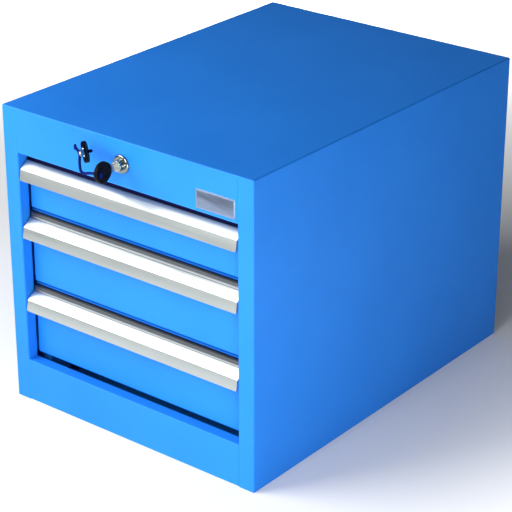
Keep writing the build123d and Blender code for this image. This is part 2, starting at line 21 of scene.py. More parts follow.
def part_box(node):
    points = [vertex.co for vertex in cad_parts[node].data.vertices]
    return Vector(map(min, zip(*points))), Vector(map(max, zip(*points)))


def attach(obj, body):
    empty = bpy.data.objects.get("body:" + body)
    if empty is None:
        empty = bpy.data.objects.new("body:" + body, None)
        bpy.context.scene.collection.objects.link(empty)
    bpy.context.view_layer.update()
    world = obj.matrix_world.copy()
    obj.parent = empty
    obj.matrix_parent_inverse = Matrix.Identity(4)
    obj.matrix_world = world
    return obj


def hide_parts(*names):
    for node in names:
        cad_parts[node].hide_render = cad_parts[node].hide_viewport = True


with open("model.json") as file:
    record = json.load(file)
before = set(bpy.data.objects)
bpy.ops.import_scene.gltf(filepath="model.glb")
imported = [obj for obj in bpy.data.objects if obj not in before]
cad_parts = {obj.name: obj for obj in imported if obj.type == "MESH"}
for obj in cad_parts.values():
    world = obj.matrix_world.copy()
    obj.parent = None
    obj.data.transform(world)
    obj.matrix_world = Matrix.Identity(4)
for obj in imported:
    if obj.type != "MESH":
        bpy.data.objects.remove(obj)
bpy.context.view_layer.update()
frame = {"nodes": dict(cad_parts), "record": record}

LOG = logging.getLogger("drawer_tool_cabinet")

Colour = tuple[float, float, float, float]
Pair = tuple[float, float]
Triple = tuple[float, float, float]

# Where nearly all of a noise's values lie.
NOISE_MIDDLE: Pair = (0.32, 0.68)
# Mesh attribute with the share of shade painted into the handle rails' hollows.
PAINTED_SHADE_ATTRIBUTE = "painted_shade"
# Least cosine between an edge and an axis that it runs along.
ALONG = 0.999
WELD_DISTANCE = 1e-6
SHARP_ANGLE = math.radians(32.0)
AXIS_X = Vector((1.0, 0.0, 0.0))
AXIS_Y = Vector((0.0, 1.0, 0.0))
AXIS_Z = Vector((0.0, 0.0, 1.0))
# Height above a handle lip's foot, and the share of painted shade there: dark colour painted where the hollow
# lies in shade. The top handle's hollow, in the top rail's shadow, is painted darker.
HOLLOW_PAINTED_SHADE: tuple[Pair, ...] = (
    (0.0256, 0.0),
    (0.0261, 0.74),
    (0.0300, 0.77),
    (0.0325, 0.68),
    (0.0350, 0.95),
)
TOP_HOLLOW_PAINTED_SHADE: tuple[Pair, ...] = ((0.0256, 0.0), (0.0264, 1.0))


class Slot(Enum):
    """Material slots of the record."""

    BLUE_PAINT = "blue_paint"
    GREY_PAINT = "grey_paint"
    HANDLE_ALUMINIUM = "handle_aluminium"
    ZINC_STEEL = "zinc_steel"
    BALL_STEEL = "ball_steel"
    LOCK_CHROME = "lock_chrome"
    KEY_NICKEL = "key_nickel"
    BLACK_PLASTIC = "black_plastic"
    NAVY_PLASTIC = "navy_plastic"
    PLATE_ALUMINIUM = "plate_aluminium"


class Surface:
    """Node tree of one material, with short calls for the nodes that the finishes share."""

    def __init__(self, name: str) -> None:
        """Start a material with a bare surface shader.

        Args:
            name: Name of the material.
        """
        self.material = bpy.data.materials.new(name)
        self.material.use_nodes = True
        self.nodes = self.material.node_tree.nodes
        self.links = self.material.node_tree.links
        self.nodes.clear()
        output = self.nodes.new("ShaderNodeOutputMaterial")
        self.shader = self.nodes.new("ShaderNodeBsdfPrincipled")
        self.links.new(self.shader.outputs["BSDF"], output.inputs["Surface"])
        self.place = self.nodes.new("ShaderNodeTexCoord").outputs["Object"]

    def constant(self, socket: str, value: float | Colour) -> None:
        """Set a value that is the same all over the surface."""
        self.shader.inputs[socket].default_value = value

    def drive(self, socket: str, source: bpy.types.NodeSocket) -> None:
        """Link a value that varies over the surface."""
        self.links.new(source, self.shader.inputs[socket])

    def noise(self, grain: Triple, detail: float = 2.0) -> bpy.types.NodeSocket:
        """Noise whose grain has a length along each axis.

        Args:
            grain: Length of one grain along X, Y and Z.
            detail: Octaves of finer noise on top of the first.

        Returns:
            The noise's value, from 0 to 1.
        """
        mapping = self.nodes.new("ShaderNodeMapping")
        mapping.inputs["Scale"].default_value = [1.0 / length for length in grain]
        self.links.new(self.place, mapping.inputs["Vector"])
        texture = self.nodes.new("ShaderNodeTexNoise")
        texture.inputs["Scale"].default_value = 1.0
        texture.inputs["Detail"].default_value = detail
        self.links.new(mapping.outputs["Vector"], texture.inputs["Vector"])
        return texture.outputs[0]

    def shades(self, value: bpy.types.NodeSocket, low: Colour, high: Colour) -> bpy.types.NodeSocket:
        """Colour between two shades, spread over the middle of a noise's range."""
        ramp = self.nodes.new("ShaderNodeValToRGB")
        first, last = ramp.color_ramp.elements
        first.position, last.position = NOISE_MIDDLE
        first.color, last.color = low, high
        self.links.new(value, ramp.inputs["Fac"])
        return ramp.outputs["Color"]

    def spread(self, value: bpy.types.NodeSocket, limits: Pair) -> bpy.types.NodeSocket:
        """Number between two limits, spread over the middle of a noise's range."""
        node = self.nodes.new("ShaderNodeMapRange")
        node.inputs["From Min"].default_value, node.inputs["From Max"].default_value = NOISE_MIDDLE
        node.inputs["To Min"].default_value, node.inputs["To Max"].default_value = limits
        self.links.new(value, node.inputs["Value"])
        return node.outputs["Result"]

    def cover(self, under: bpy.types.NodeSocket, over: Colour, attribute: str) -> bpy.types.NodeSocket:
        """Colour that gives way to another by a share that the mesh carries.

        Args:
            under: Colour where the share is 0, and where the mesh has no such attribute.
            over: Colour where the share is 1.
            attribute: Name of the attribute with the share.

        Returns:
            The mixed colour.
        """
        share = self.nodes.new("ShaderNodeAttribute")
        share.attribute_name = attribute
        mix = self.nodes.new("ShaderNodeMix")
        mix.data_type = "RGBA"
        sockets = {socket.identifier: socket for socket in (*mix.inputs, *mix.outputs)}
        sockets["B_Color"].default_value = over
        self.links.new(share.outputs["Fac"], sockets["Factor_Float"])
        self.links.new(under, sockets["A_Color"])
        return sockets["Result_Color"]

    def relief(
        self, height: bpy.types.NodeSocket, depth: float, under: bpy.types.NodeSocket | None = None
    ) -> bpy.types.NodeSocket:
        """Shading of a relief.

        Args:
            height: The relief's height, from 0 to 1.
            depth: Real height of the relief.
            under: Shading of a coarser relief that this one lies on.

        Returns:
            The shaded normal.
        """
        node = self.nodes.new("ShaderNodeBump")
        node.inputs["Distance"].default_value = depth
        self.links.new(height, node.inputs["Height"])
        if under is not None:
            self.links.new(under, node.inputs["Normal"])
        return node.outputs["Normal"]


@dataclass(frozen=True)
class PowderCoat:
    """Baked paint on folded sheet: faint clouds of colour, orange peel, and the sheet's slow waviness."""

    name: str
    deep: Colour
    light: Colour
    gloss: Pair = (0.42, 0.54)
    specular: float = 0.2
    cloud: Triple = (0.14, 0.14, 0.14)
    cloud_detail: float = 4.0
    peel: Triple = (0.0016, 0.0016, 0.0016)
    peel_depth: float = 0.00002
    wave: Triple = (0.22, 0.22, 0.22)
    wave_detail: float = 0.0
    wave_depth: float = 0.0006

    def make(self) -> bpy.types.Material:
        """Build the material."""
        surface = Surface(self.name)
        clouds = surface.noise(self.cloud, self.cloud_detail)
        peel = surface.noise(self.peel)
        surface.constant("Specular IOR Level", self.specular)
        surface.drive("Base Color", surface.shades(clouds, self.deep, self.light))
        surface.drive("Roughness", surface.spread(peel, self.gloss))
        waves = surface.relief(surface.noise(self.wave, self.wave_detail), self.wave_depth)
        surface.drive("Normal", surface.relief(peel, self.peel_depth, under=waves))
        return surface.material


@dataclass(frozen=True)
class DrawnMetal:
    """Metal with fine lines along one direction, as an extrusion or a brushed sheet has."""

    name: str
    dark: Colour
    bright: Colour
    line: Triple
    gloss: Pair = (0.30, 0.42)
    line_detail: float = 3.0
    line_depth: float = 0.00001
    anisotropy: float = 0.3
    # Colour painted into hollows as shade, by the share that the mesh carries.
    painted_shade: Colour | None = None

    def make(self) -> bpy.types.Material:
        """Build the material."""
        surface = Surface(self.name)
        lines = surface.noise(self.line, self.line_detail)
        surface.constant("Metallic", 1.0)
        surface.constant("Anisotropic", self.anisotropy)
        colour = surface.shades(lines, self.dark, self.bright)
        # Shade is painted into the hollows where the mesh carries a share.
        if self.painted_shade is not None:
            colour = surface.cover(colour, self.painted_shade, PAINTED_SHADE_ATTRIBUTE)
        surface.drive("Base Color", colour)
        surface.drive("Roughness", surface.spread(lines, self.gloss))
        surface.drive("Normal", surface.relief(lines, self.line_depth))
        return surface.material


@dataclass(frozen=True)
class PlatedMetal:
    """Plated metal with faint stains and fine handling marks."""

    name: str
    dark: Colour
    bright: Colour
    gloss: Pair
    stain: Triple = (0.018, 0.018, 0.018)
    stain_detail: float = 4.0
    mark: Triple = (0.0006, 0.004, 0.0006)
    mark_depth: float = 0.000006

    def make(self) -> bpy.types.Material:
        """Build the material."""
        surface = Surface(self.name)
        stains = surface.noise(self.stain, self.stain_detail)
        surface.constant("Metallic", 1.0)
        surface.drive("Base Color", surface.shades(stains, self.dark, self.bright))
        surface.drive("Roughness", surface.spread(stains, self.gloss))
        surface.drive("Normal", surface.relief(surface.noise(self.mark), self.mark_depth))
        return surface.material


@dataclass(frozen=True)
class MouldedPlastic:
    """Moulded plastic with a fine spark-eroded grain."""

    name: str
    dark: Colour
    light: Colour
    gloss: Pair
    grain: Triple = (0.0005, 0.0005, 0.0005)
    grain_depth: float = 0.00002
    cloud: Triple = (0.008, 0.008, 0.008)
    specular: float = 0.06

    def make(self) -> bpy.types.Material:
        """Build the material."""
        surface = Surface(self.name)
        clouds = surface.noise(self.cloud)
        grain = surface.noise(self.grain)
        surface.constant("Specular IOR Level", self.specular)
        surface.drive("Base Color", surface.shades(clouds, self.dark, self.light))
        surface.drive("Roughness", surface.spread(grain, self.gloss))
        surface.drive("Normal", surface.relief(grain, self.grain_depth))
        return surface.material


FINISHES = {
    Slot.BLUE_PAINT: PowderCoat("blue_powder_coat", (0.010, 0.184, 0.69, 1.0), (0.013, 0.200, 0.73, 1.0)),
    Slot.GREY_PAINT: PowderCoat("grey_powder_coat", (0.50, 0.52, 0.53, 1.0), (0.55, 0.57, 0.57, 1.0)),
    Slot.HANDLE_ALUMINIUM: DrawnMetal(
        "satin_handle_rail",
        (0.50, 0.54, 0.535, 1.0),
        (0.55, 0.59, 0.58, 1.0),
        line=(0.12, 0.0005, 0.0005),
        gloss=(0.36, 0.46),
        # Near-black navy, painted into the rails' hollows as shade.
        painted_shade=(0.003, 0.003, 0.022, 1.0),
    ),
    Slot.ZINC_STEEL: PlatedMetal(
        "zinc_plate",
        (0.52, 0.55, 0.60, 1.0),
        (0.68, 0.68, 0.64, 1.0),
        gloss=(0.26, 0.40),
        mark=(0.0008, 0.03, 0.0008),
    ),
    Slot.BALL_STEEL: PlatedMetal(
        "bare_cage_steel", (0.46, 0.47, 0.48, 1.0), (0.58, 0.59, 0.60, 1.0), gloss=(0.18, 0.30)
    ),
    Slot.LOCK_CHROME: PlatedMetal(
        "lock_chrome", (0.22, 0.25, 0.235, 1.0), (0.33, 0.36, 0.34, 1.0), gloss=(0.14, 0.24)
    ),
    Slot.KEY_NICKEL: PlatedMetal(
        "key_nickel", (0.30, 0.29, 0.27, 1.0), (0.42, 0.41, 0.38, 1.0), gloss=(0.24, 0.36)
    ),
    Slot.BLACK_PLASTIC: MouldedPlastic(
        "black_key_plastic", (0.002, 0.002, 0.003, 1.0), (0.005, 0.005, 0.007, 1.0), gloss=(0.40, 0.52)
    ),
    Slot.NAVY_PLASTIC: MouldedPlastic(
        "navy_tie_plastic", (0.0, 0.003, 0.075, 1.0), (0.0, 0.006, 0.12, 1.0), gloss=(0.44, 0.56)
    ),
    Slot.PLATE_ALUMINIUM: DrawnMetal(
        "brushed_name_plate", (0.17, 0.22, 0.34, 1.0), (0.25, 0.31, 0.42, 1.0), line=(0.02, 0.0004, 0.0003)
    ),
}


class Palette:
    """Finished materials, by the record's material slots."""

    def __init__(self) -> None:
        """Build one material for each slot."""
        self.materials = {slot: finish.make() for slot, finish in FINISHES.items()}

    def dress_nodes(self) -> None:
        """Give every CAD node the finish of its slot."""
        for part in frame["record"]["subparts"]:
            material = self.materials[Slot(part["material_slot"])]
            for slot in frame["nodes"][part["node"]].material_slots:
                slot.material = material
            LOG.info("dressed %s in %s", part["node"], material.name)


class Workpiece:
    """A mesh in the making, which ends as one named piece on a body."""

    def __init__(self) -> None:
        """Start with an empty mesh."""
        self.mesh = bmesh.new()

    def outline(self, points: Iterable[Vector]) -> BMFace:
        """Flat face through the points of an outline."""
        return self.mesh.faces.new([self.mesh.verts.new(point) for point in points])

    def extrude(self, face: BMFace, way: Vector) -> BMFace:
        """Draw a face out into a solid.

        Args:
            face: Face to draw out, which stays as the solid's near end.
            way: Direction and length of the extrusion.

        Returns:
            The solid's far end.
        """
        made = bmesh.ops.extrude_face_region(self.mesh, geom=[face])["geom"]
        bmesh.ops.translate(self.mesh, verts=[item for item in made if isinstance(item, BMVert)], vec=way)
        return next(item for item in made if isinstance(item, BMFace))

    def bevel(self, edges: Iterable[BMEdge], width: float, segments: int) -> None:
        """Round edges to a width."""
        bmesh.ops.bevel(
            self.mesh,
            geom=list(edges),
            offset=width,
            offset_type="OFFSET",
            segments=segments,
            profile=0.5,
            affect="EDGES",
            material=-1,
            clamp_overlap=True,
        )

    def edges_along(self, axis: Vector, sharper_than: float = 0.0) -> list[BMEdge]:
        """Edges that run along an axis.

        Args:
            axis: Unit vector of the axis.
            sharper_than: Least angle between an edge's two faces.

        Returns:
            The edges.
        """
        return [
            edge
            for edge in self.mesh.edges
            if abs((edge.verts[1].co - edge.verts[0].co).normalized().dot(axis)) > ALONG
            and edge.calc_face_angle(0.0) > sharper_than
        ]

    def lathe(self, outline: Sequence[Pair], centre: Vector, steps: int) -> None:
        """Turn a closed outline about an axis along Y.

        Args:
            outline: Radius and reach towards the front of each point.
            centre: Point of the axis from which the reach counts.
            steps: Sides of the turned piece.
        """
        turned = [self.mesh.verts.new(centre + Vector((radius, -reach, 0.0))) for radius, reach in outline]
        rim = [self.mesh.edges.new(pair) for pair in zip(turned, turned[1:] + turned[:1])]
        bmesh.ops.spin(
            self.mesh,
            geom=turned + rim,
            cent=centre,
            axis=(0.0, 1.0, 0.0),
            angle=math.tau,
            steps=steps,
            use_merge=True,
        )

    def ring(self, radius: float, centre: Vector, sides: int) -> list[BMEdge]:
        """Closed loop of edges on a circle across Z."""
        made = bmesh.ops.create_circle(
            self.mesh, cap_ends=False, radius=radius, segments=sides, matrix=Matrix.Translation(centre)
        )
        return list({edge for vert in made["verts"] for edge in vert.link_edges})

    def step(self, loop: list[BMEdge], centre: Vector, growth: float, rise: float) -> list[BMEdge]:
        """Draw a circle of edges out to another circle across Z.

        Args:
            loop: Edges of the circle.
            centre: Centre of the circle.
            growth: New radius over the old one.
            rise: How far the new circle lies above the old one.

        Returns:
            Edges of the new circle.
        """
        made = bmesh.ops.extrude_edge_only(self.mesh, edges=loop)["geom"]
        verts = [item for item in made if isinstance(item, BMVert)]
        bmesh.ops.scale(self.mesh, verts=verts, vec=(growth, growth, 1.0), space=Matrix.Translation(-centre))
        bmesh.ops.translate(self.mesh, verts=verts, vec=(0.0, 0.0, rise))
        edges = [item for item in made if isinstance(item, BMEdge)]
        return [edge for edge in edges if all(vert in verts for vert in edge.verts)]

    def place(self, matrix: Matrix) -> None:
        """Move the whole mesh."""
        bmesh.ops.transform(self.mesh, matrix=matrix, verts=self.mesh.verts)

    def finish(
        self, name: str, body: str, slot: Slot, palette: Palette, replaces: Sequence[str] = ()
    ) -> bpy.types.Object:
        """Close the mesh and hand it over as a piece.

        Args:
            name: Name of the piece.
            body: Body that it rides on.
            slot: Material slot of its finish.
            palette: Finished materials.
            replaces: CAD nodes that it stands for.

        Returns:
            The piece's object.
        """
        bmesh.ops.remove_doubles(self.mesh, verts=self.mesh.verts, dist=WELD_DISTANCE)
        bmesh.ops.recalc_face_normals(self.mesh, faces=self.mesh.faces)
        data = bpy.data.meshes.new(name)
        self.mesh.to_mesh(data)
        self.mesh.free()
        data.shade_smooth()
        data.set_sharp_from_angle(angle=SHARP_ANGLE)
        data.materials.append(palette.materials[slot])
        piece = bpy.data.objects.new(name, data)
        bpy.context.scene.collection.objects.link(piece)
        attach(piece, body)
        if replaces:
            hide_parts(*replaces)
        LOG.info("%s rides on %s", name, body)
        return piece


@dataclass
class FrontFrame:
    """Welded corners of the front frame, dressed nearly flush where the rails meet the stiles."""

    fold: float = 0.002
    recess: float = 0.00025
    bead_width: float = 0.0018
    bead_depth: float = 0.0012

    def build(self, palette: Palette) -> None:
        """Fill the four grooves between the rails and the stiles.

        Args:
            palette: Finished materials.
        """
        beads = Workpiece()
        for rail, start_inset, end_inset in (
            ("front_top_rail", self.fold, 0.0),
            ("front_bottom_rail", self.fold, self.fold),
        ):
            low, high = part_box(rail)
            front = low.y + self.recess
            for side in (-1.0, 1.0):
                near = side * (high.x - self.recess)
                far = side * (high.x + self.bead_width)
                face = beads.outline(
                    Vector((x, y, low.z + start_inset))
                    for x, y in (
                        (near, front),
                        (far, front),
                        (far, front + self.bead_depth),
                        (near, front + self.bead_depth),
                    )
                )
                beads.extrude(face, AXIS_Z * (high.z - end_inset - low.z - start_inset))
        beads.finish("frame_weld_beads", "cabinet", Slot.BLUE_PAINT, palette)


@dataclass
class HandleRail:
    """Extruded rail across a drawer front: a lip to pull on, a slope, and a channel that curls over."""

    drawer: str
    wall: float = 0.0018
    lip_height: float = 0.0158
    lip_lean: float = 0.0027
    lip_corner: float = 0.0025
    lip_corner_steps: int = 5
    slope_top_reach: float = 0.0050
    slope_top_height: float = 0.0256
    hollow_foot: tuple[Pair, ...] = ((0.0018, 0.0290), (0.0026, 0.0274), (0.0036, 0.0263))
    hollow_reach: float = 0.0016
    hollow_height: float = 0.0306
    hollow_tip: float = 0.0036
    hollow_steps: int = 12
    leg_height: float = 0.0232
    leg_drop: float = 0.0312
    arris: float = 0.0004
    arris_steps: int = 2
    arris_angle: float = math.radians(14.0)
    # Heights and shares of the shade painted into the hollow.
    shade_stops: tuple[Pair, ...] = HOLLOW_PAINTED_SHADE

    def section(self, reach: float, height: float) -> list[Pair]:
        """Outline of the rail.

        Args:
            reach: How far the lip's foot stands before the drawer front.
            height: Height of the whole rail.

        Returns:
            Reach and height above the lip's foot of each point.
        """
        width = self.hollow_tip - self.hollow_reach
        rise = height - self.hollow_height
        radius = (width**2 + rise**2) / (2.0 * width)
        turn = math.asin(rise / radius)
        angles = [turn * number / self.hollow_steps for number in range(self.hollow_steps, -1, -1)]
        curl = [
            (
                self.hollow_reach + radius * (1.0 - math.cos(angle)),
                self.hollow_height + radius * math.sin(angle),
            )
            for angle in angles
        ]
        slope = (self.slope_top_height - self.lip_height) / (reach - self.lip_lean - self.slope_top_reach)
        inner_reach = reach - self.lip_lean - self.wall
        inner_height = self.lip_height + self.wall * (slope - math.hypot(1.0, slope))
        leg_foot = height - self.leg_drop
        return curl + [
            *self.hollow_foot,
            (self.slope_top_reach, self.slope_top_height),
            (reach - self.lip_lean, self.lip_height),
            (reach, 0.0),
            (reach - self.wall, 0.0),
            (inner_reach, inner_height),
            (self.wall, self.leg_height),
            (self.wall, leg_foot),
            (0.0, leg_foot),
            (0.0, height),
        ]

    def build(self, palette: Palette) -> None:
        """Make the rail in the place of its node.

        Args:
            palette: Finished materials.
        """
        node = f"{self.drawer}_handle"
        low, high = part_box(node)
        rail = Workpiece()
        end = rail.outline(
            Vector((low.x, high.y - reach, low.z + height))
            for reach, height in self.section(high.y - low.y, high.z - low.z)
        )
        rail.extrude(end, AXIS_X * (high.x - low.x))
        foot = low.z + WELD_DISTANCE
        feet = [edge for edge in rail.edges_along(AXIS_Y) if max(vert.co.z for vert in edge.verts) < foot]
        rail.bevel(feet, self.lip_corner, self.lip_corner_steps)
        rail.bevel(rail.edges_along(AXIS_X, self.arris_angle), self.arris, self.arris_steps)
        piece = rail.finish(f"{self.drawer}_handle_rail", self.drawer, Slot.HANDLE_ALUMINIUM, palette, [node])
        # Paint shade into the hollow, by height.
        self.paint_shade(piece.data, low.z)

    def paint_shade(self, mesh: bpy.types.Mesh, foot: float) -> None:
        """Note on the mesh how much shade is painted, from none on the slope to most under the curl.

        Args:
            mesh: The rail's mesh.
            foot: Height of the lip's foot.
        """
        shares = [self.shade_share(vert.co.z - foot) for vert in mesh.vertices]
        layer = mesh.attributes.new(PAINTED_SHADE_ATTRIBUTE, "FLOAT", "POINT")
        layer.data.foreach_set("value", shares)

    def shade_share(self, height: float) -> float:
        """Share of painted shade at a height above the lip's foot, evenly between the stops."""
        for (start, share), (end, end_share) in zip(self.shade_stops, self.shade_stops[1:]):
            if height < end:
                part = max(height - start, 0.0) / (end - start)
                return share + (end_share - share) * part
        return self.shade_stops[-1][1]


@dataclass
class NamePlate:
    """Bare plate on the top rail, with rounded corners and a fine engraved border."""

    thickness: float = 0.0005
    corner: float = 0.0015
    least_corner_share: float = 0.25
    corner_steps: int = 5
    arris: float = 0.0002
    border: float = 0.0014
    line_width: float = 0.0003
    line_depth: float = 0.00012

    def build(self, palette: Palette) -> None:
        """Make the plate in the place of its node.

        Args:
            palette: Finished materials.
        """
        low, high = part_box("name_plate")
        middle = (low + high) / 2
        half = Vector(((high.x - low.x) / 2, 0.0, (high.z - low.z) / 2))
        front = high.y - self.thickness
        plate = Workpiece()
        rings = [
            (0.0, high.y),
            (0.0, front + self.arris),
            (self.arris, front),
            (self.border, front),
            (self.border + self.line_width / 2, front + self.line_depth),
            (self.border + self.line_width, front),
        ]
        loops = [
            [plate.mesh.verts.new((middle.x + x, depth, middle.z + z)) for x, z in self.ring(half, inset)]
            for inset, depth in rings
        ]
        for outer, inner in zip(loops, loops[1:]):
            for number in range(len(outer)):
                after = (number + 1) % len(outer)
                plate.mesh.faces.new((outer[number], outer[after], inner[after], inner[number]))
        plate.mesh.faces.new(loops[0])
        plate.mesh.faces.new(loops[-1])
        plate.finish("bare_name_plate", "cabinet", Slot.PLATE_ALUMINIUM, palette, ["name_plate"])

    def ring(self, half: Vector, inset: float) -> list[Pair]:
        """Outline of the plate with rounded corners, drawn in by an inset.

        Args:
            half: Half the plate's width and height, along X and Z.
            inset: How far inside the plate's edge the outline lies.

        Returns:
            Place along X and Z of each point, from the plate's middle.
        """
        radius = max(self.corner - inset, self.corner * self.least_corner_share)
        reach = Vector((half.x - inset - radius, 0.0, half.z - inset - radius))
        points = []
        for quarter, (side, rise) in enumerate(((1, 1), (-1, 1), (-1, -1), (1, -1))):
            for number in range(self.corner_steps + 1):
                angle = math.pi / 2 * (quarter + number / self.corner_steps)
                x = side * reach.x + radius * math.cos(angle)
                z = rise * reach.z + radius * math.sin(angle)
                points.append((x, z))
        return points


@dataclass
class LockHousing:
    """Bezel and threaded barrel of the cylinder lock."""

    bezel_radius: float = 0.013
    bezel_height: float = 0.0036
    bezel_round: float = 0.0024
    round_steps: int = 8
    ring_radius: float = 0.0099
    ring_width: float = 0.0007
    ring_floor: float = 0.00035
    ring_depth: float = 0.0005
    bore_radius: float = 0.00656
    bore_chamfer: float = 0.0005
    barrel_radius: float = 0.0095
    thread_depth: float = 0.0005
    thread_pitch: float = 0.0015
    thread_start: float = 0.0065
    thread_turns: int = 12
    sides: int = 72

    def section(self, length: float) -> list[Pair]:
        """Outline of half the housing.

        Args:
            length: How far the barrel reaches behind the panel.

        Returns:
            Radius and reach before the panel of each point.
        """
        quarter = [math.pi / 2 * number / self.round_steps for number in range(self.round_steps + 1)]
        centre = (self.bezel_radius - self.bezel_round, self.bezel_height - self.bezel_round)
        rim = [
            (centre[0] + self.bezel_round * math.cos(angle), centre[1] + self.bezel_round * math.sin(angle))
            for angle in quarter
        ]
        groove = [
            (self.ring_radius + self.ring_width / 2, self.bezel_height),
            (self.ring_radius + self.ring_floor / 2, self.bezel_height - self.ring_depth),
            (self.ring_radius - self.ring_floor / 2, self.bezel_height - self.ring_depth),
            (self.ring_radius - self.ring_width / 2, self.bezel_height),
        ]
        mouth = [
            (self.bore_radius + self.bore_chamfer, self.bezel_height),
            (self.bore_radius, self.bezel_height - self.bore_chamfer),
            (self.bore_radius, -length),
        ]
        thread = []
        for turn in reversed(range(self.thread_turns)):
            crest = -(self.thread_start + turn * self.thread_pitch)
            thread.append((self.barrel_radius - self.thread_depth, crest - self.thread_pitch / 2))
            thread.append((self.barrel_radius, crest))
        return [
            (self.barrel_radius, 0.0),
            (self.bezel_radius, 0.0),
            *rim,
            *groove,
            *mouth,
            (self.barrel_radius - self.thread_depth, -length),
            *thread,
        ]

    def build(self, palette: Palette) -> None:
        """Turn the housing in the place of its node.

        Args:
            palette: Finished materials.
        """
        low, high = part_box("lock_housing")
        panel = low.y + self.bezel_height
        housing = Workpiece()
        centre = Vector(((low.x + high.x) / 2, panel, (low.z + high.z) / 2))
        housing.lathe(self.section(high.y - panel), centre, self.sides)
        housing.finish("lock_bezel_and_barrel", "cabinet", Slot.LOCK_CHROME, palette, ["lock_housing"])


@dataclass
class KeyHead:
    """Round moulded head of a key, with a hole near its rim and a thumb hollow on both faces."""

    name: str
    body: str
    blade_way: Vector
    normal: Vector
    radius: float = 0.0145
    thickness: float = 0.0064
    rim_round: float = 0.0012
    rim_steps: int = 4
    hole_radius: float = 0.0021
    hole_chamfer: float = 0.0004
    hole_reach: float = 0.009
    hollow_radius: float = 0.0068
    hollow_offset: float = 0.003
    hollow_depth: float = 0.0005
    hollow_slope: float = 0.0006
    sides: int = 56

    def build(self, palette: Palette) -> None:
        """Make the head in the place of its node.

        Args:
            palette: Finished materials.
        """
        node = f"{self.name}_head"
        low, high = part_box(node)
        head = self.half_head()
        geom = head.mesh.verts[:] + head.mesh.edges[:] + head.mesh.faces[:]
        bmesh.ops.mirror(head.mesh, geom=geom, matrix=Matrix.Identity(4), merge_dist=WELD_DISTANCE, axis="Z")
        across = self.normal.cross(self.blade_way)
        turn = Matrix((self.blade_way, across, self.normal)).transposed().to_4x4()
        head.place(Matrix.Translation((low + high) / 2) @ turn)
        head.finish(f"{self.name}_moulded_head", self.body, Slot.BLACK_PLASTIC, palette, [node])

    def half_head(self) -> Workpiece:
        """One face of the head and half its thickness, with the blade's side towards X.

        Returns:
            The half above Z = 0, open below.
        """
        head = Workpiece()
        half = self.thickness / 2
        middle = Vector((0.0, 0.0, half))
        hole_middle = Vector((-self.hole_reach, 0.0, half))
        hollow_middle = Vector((self.hollow_offset, 0.0, half))
        flat_radius = self.radius - self.rim_round
        mouth_radius = self.hole_radius + self.hole_chamfer
        rim = head.ring(flat_radius, middle, self.sides)
        hole = head.ring(mouth_radius, hole_middle, self.sides // 2)
        hollow = head.ring(self.hollow_radius, hollow_middle, self.sides)
        bmesh.ops.triangle_fill(head.mesh, use_beauty=True, edges=rim + hole + hollow)
        radius, fall = flat_radius, 0.0
        for number in range(1, self.rim_steps + 1):
            angle = math.pi / 2 * number / self.rim_steps
            new_radius = flat_radius + self.rim_round * math.sin(angle)
            new_fall = self.rim_round * (1.0 - math.cos(angle))
            rim = head.step(rim, middle, new_radius / radius, fall - new_fall)
            radius, fall = new_radius, new_fall
        head.step(rim, middle, 1.0, fall - half)
        hole = head.step(hole, hole_middle, self.hole_radius / mouth_radius, -self.hole_chamfer)
        head.step(hole, hole_middle, 1.0, self.hole_chamfer - half)
        floor_radius = self.hollow_radius - self.hollow_slope
        hollow = head.step(hollow, hollow_middle, floor_radius / self.hollow_radius, -self.hollow_depth)
        bmesh.ops.contextual_create(head.mesh, geom=hollow)
        return head


